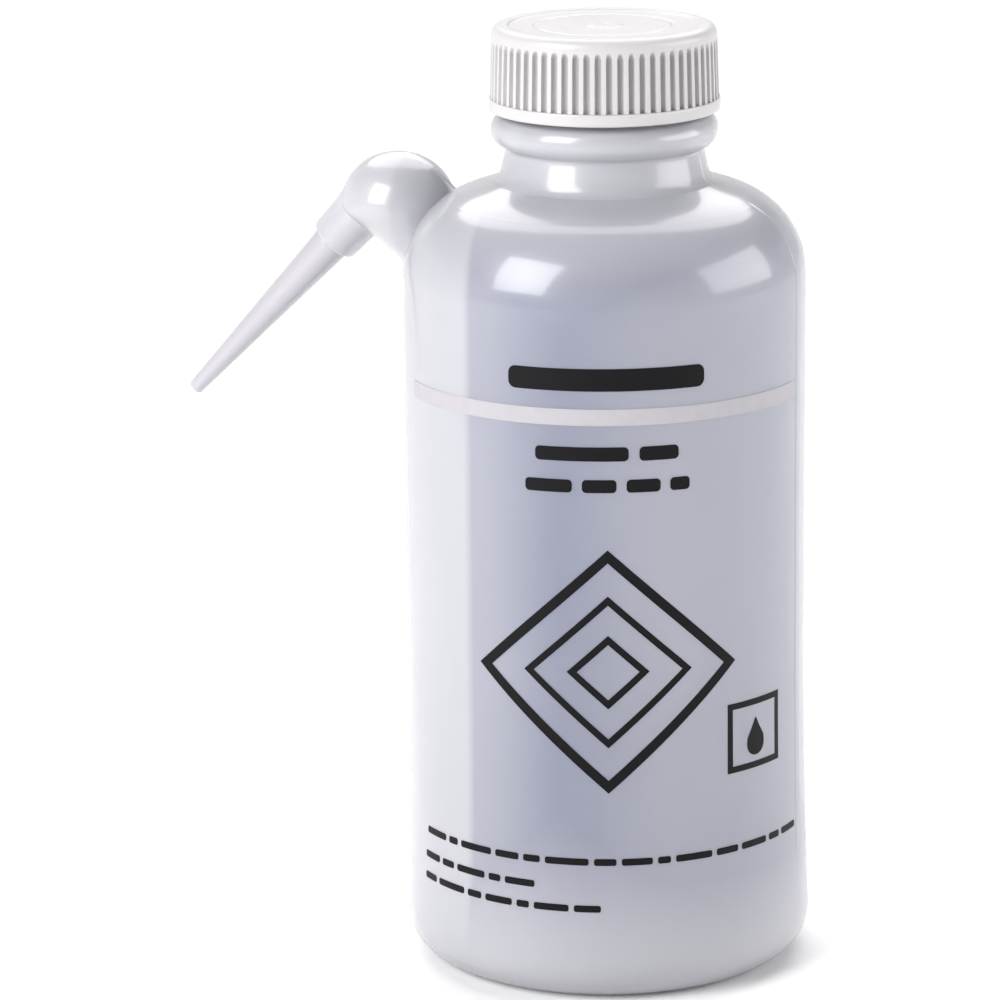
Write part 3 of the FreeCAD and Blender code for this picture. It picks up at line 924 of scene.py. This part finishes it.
class WASHBOTTLE_OT_stage(bpy.types.Operator):
    """Set up the floor, the soft lights and the camera"""
    bl_idname = "washbottle.stage"
    bl_label = "Stage"

    def execute(self, context):
        sizes = context.scene.washbottle_stage
        half = sizes.floor_size / 2
        side = np.linspace(-half, half, 3)
        x, y = np.meshgrid(side, side)
        floor = skin("floor", np.stack([x, y, 0 * x], -1), close_columns=False)
        floor.data.materials.append(floor_paint(sizes.floor))
        panel_light("light_left", azimuth=-30, elevation=28, distance=1.2, width=0.70, height=0.85,
                    power=18.5)
        panel_light("light_right", azimuth=105, elevation=18, distance=1.2, width=1.05, height=0.65,
                    power=10)
        overhead_light("light_back", azimuth=200, elevation=52, strength=3.2, spread=64)
        studio_world(sizes.sky, sizes.horizon)
        front_camera(sizes)
        context.scene.view_settings.view_transform = "Standard"
        return {"FINISHED"}


class WASHBOTTLE_PT_panel(bpy.types.Panel):
    """Sizes, colours and the buttons that make each piece"""
    bl_label = "Wash bottle"
    bl_idname = "WASHBOTTLE_PT_panel"
    bl_space_type = "VIEW_3D"
    bl_region_type = "UI"
    bl_category = "Wash bottle"

    def draw(self, context):
        for group, operator in STEPS:
            settings = getattr(context.scene, group)
            box = self.layout.box()
            box.operator(operator.bl_idname)
            for name in settings.__annotations__:
                box.prop(settings, name)


GROUPS = {
    "washbottle_moulding": MouldingSizes,
    "washbottle_nozzle": NozzleSizes,
    "washbottle_cap": CapSizes,
    "washbottle_print": PrintSizes,
    "washbottle_stage": StageSizes,
}
STEPS = (
    ("washbottle_moulding", WASHBOTTLE_OT_moulding),
    ("washbottle_nozzle", WASHBOTTLE_OT_nozzle),
    ("washbottle_cap", WASHBOTTLE_OT_closure),
    ("washbottle_print", WASHBOTTLE_OT_print),
    ("washbottle_stage", WASHBOTTLE_OT_stage),
)


def register():
    """Registers the property groups, the operators and the panel."""
    for name, group in GROUPS.items():
        bpy.utils.register_class(group)
        setattr(bpy.types.Scene, name, PointerProperty(type=group))
    for _, operator in STEPS:
        bpy.utils.register_class(operator)
    bpy.utils.register_class(WASHBOTTLE_PT_panel)


def unregister():
    """Takes everything that register added away again."""
    bpy.utils.unregister_class(WASHBOTTLE_PT_panel)
    for _, operator in reversed(STEPS):
        bpy.utils.unregister_class(operator)
    for name, group in reversed(GROUPS.items()):
        delattr(bpy.types.Scene, name)
        bpy.utils.unregister_class(group)


def main():
    """Makes every piece and the stage."""
    register()
    bpy.ops.washbottle.moulding()
    bpy.ops.washbottle.nozzle()
    bpy.ops.washbottle.closure()
    bpy.ops.washbottle.print()
    bpy.ops.washbottle.stage()


if __name__ == "__main__":
    main()
